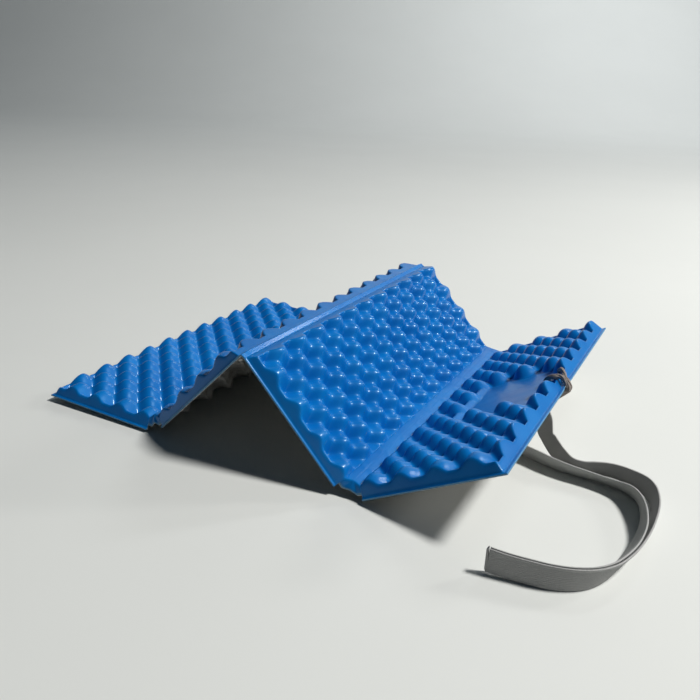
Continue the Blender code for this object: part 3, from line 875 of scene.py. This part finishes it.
def make_end_fold(material):
    """The far end: the band turned back on itself, with clipped corners."""
    rows = [Vector(PLY_A_ROUTE[-1][0]), Vector(PLY_B_ROUTE[-1][0])]
    along = Vector(PLY_A_ROUTE[-1][0]) - Vector(PLY_A_ROUTE[-2][0])
    along.z = 0
    along.normalize()
    out = (rows[0] - rows[1]) / 2
    middle = (rows[0] + rows[1]) / 2
    angles = np.linspace(-pi / 2, pi / 2, 19)
    rings = []
    inner = out.length - STRAP_THICKNESS / 2
    outer = out.length + STRAP_THICKNESS / 2
    facing = out.normalized()
    levels = np.linspace(0, STRAP_WIDTH, 16)
    for angle in angles:
        direction = along * cos(angle) - facing * sin(angle)
        clip = 0.0016 * cos(angle) ** 2
        low, high = clip, STRAP_WIDTH - clip
        ring = []
        for level in levels:
            z = low + (high - low) * level / STRAP_WIDTH
            ring.append(middle + direction * outer + Vector((0, 0, z)))
        for level in levels[::-1]:
            z = low + (high - low) * level / STRAP_WIDTH
            ring.append(middle + direction * max(inner, 0.0001) + Vector((0, 0, z)))
        rings.append(ring)
    across = np.concatenate([levels, levels[::-1]]) - STRAP_WIDTH / 2
    end = loft("strap_end_turn", np.array(rings), material, angles * outer, across)
    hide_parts("strap_end_fold")
    return end


def make_strap():
    light = elastic_material("grey_elastic", (0.23, 0.23, 0.225), (0.60, 0.60, 0.59))
    # the inner ply gets a lighter copy of the elastic: painted light lifting the ply that sits in shade
    dark = elastic_material("grey_elastic_inner_painted_lighter", (0.25, 0.255, 0.25), (0.64, 0.65, 0.635))
    worn = elastic_material("bunched_elastic", (0.18, 0.15, 0.135), (0.55, 0.48, 0.44))
    ply_a, path_a, length_a = make_ply("strap_outer_ply", PLY_A_ROUTE, light)
    ply_b, path_b, length_b = make_ply("strap_inner_ply", PLY_B_ROUTE, dark)
    hitch = make_hitch(worn)
    end = make_end_fold(light)
    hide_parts("strap_ply_a")
    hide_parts("strap_ply_b")
    for piece in (ply_a, ply_b, hitch, end):
        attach(piece, "panel_4")


# ---------------------------------------------------------------- studio


def make_camera():
    data = bpy.data.cameras.new("camera")
    data.lens = CAMERA_LENS
    data.clip_start = 0.01
    data.clip_end = 50
    camera = bpy.data.objects.new("camera", data)
    bpy.context.scene.collection.objects.link(camera)
    flat = cos(CAMERA_PITCH)
    forward = Vector((sin(CAMERA_YAW) * flat, cos(CAMERA_YAW) * flat, -sin(CAMERA_PITCH)))
    right = Vector((cos(CAMERA_YAW), -sin(CAMERA_YAW), 0))
    up = right.cross(forward)
    turned_right = right * cos(CAMERA_ROLL) + up * sin(CAMERA_ROLL)
    turned_up = up * cos(CAMERA_ROLL) - right * sin(CAMERA_ROLL)
    turn = Matrix((turned_right, turned_up, -forward)).transposed()
    camera.matrix_world = Matrix.Translation(CAMERA_PLACE) @ turn.to_4x4()
    bpy.context.scene.camera = camera


def area_light(name, place, aim, size, power, color):
    """A round lamp at a place, aimed at a point."""
    data = bpy.data.lights.new(name, "AREA")
    data.shape = "DISK"
    data.size = size
    data.energy = power
    data.color = color
    lamp = bpy.data.objects.new(name, data)
    bpy.context.scene.collection.objects.link(lamp)
    lamp.location = place
    lamp.rotation_euler = (Vector(place) - Vector(aim)).to_track_quat("Z", "Y").to_euler()


def make_studio():
    """Pale floor that curves up into a wall, a hard key lamp from the right, and weak fill."""
    shape = [(-2.5, 0.0), (WALL_START, 0.0)]
    for k in range(1, 33):
        turn = pi / 2 * k / 32
        shape.append((WALL_START + WALL_CURVE * sin(turn), WALL_CURVE * (1 - cos(turn))))
    shape.append((WALL_START + WALL_CURVE, 6.0))
    points = []
    for x in (-6.0, 6.0):
        points += [(x, y, z) for y, z in shape]
    count = len(shape)
    faces = [(k, count + k, count + k + 1, k + 1) for k in range(count - 1)]
    mesh = bpy.data.meshes.new("studio_floor")
    mesh.from_pydata(points, [], faces)
    mesh.polygons.foreach_set("use_smooth", [True] * len(faces))
    mesh.materials.append(floor_material())
    floor = bpy.data.objects.new("studio_floor", mesh)
    bpy.context.scene.collection.objects.link(floor)
    floor.rotation_euler = (0, 0, -CAMERA_YAW)
    centre = Vector((0.05, 0.0, 0.03))
    key = centre + Vector(KEY_DIRECTION) * KEY_DISTANCE
    area_light("key", key, centre, 0.39, 59, (1.0, 0.985, 0.96))
    area_light("low_second", (1.5, 1.5, 1.0), (0.2, 1.4, 0.0), 0.4, 11, (1.0, 0.98, 0.95))
    area_light("wall_wash", (0.5, 3.5, 3.0), (-1.5, 4.5, 1.0), 1.5, 84, (0.96, 0.98, 1.0))
    world = bpy.data.worlds.new("studio")
    world.use_nodes = True
    background = world.node_tree.nodes["Background"]
    background.inputs["Color"].default_value = (0.40, 0.68, 1.0, 1.0)
    background.inputs["Strength"].default_value = 0.040
    bpy.context.scene.world = world
    bpy.context.scene.view_settings.view_transform = "Standard"


def main():
    make_camera()
    make_strap()
    skin, cut, foil = skin_material(), cut_material(), foil_material()
    for number in (1, 2, 3, 4):
        make_panel(number, skin, cut, foil)
    for number in (1, 2, 3):
        make_crease(number, skin, cut, foil)
    make_studio()


main()
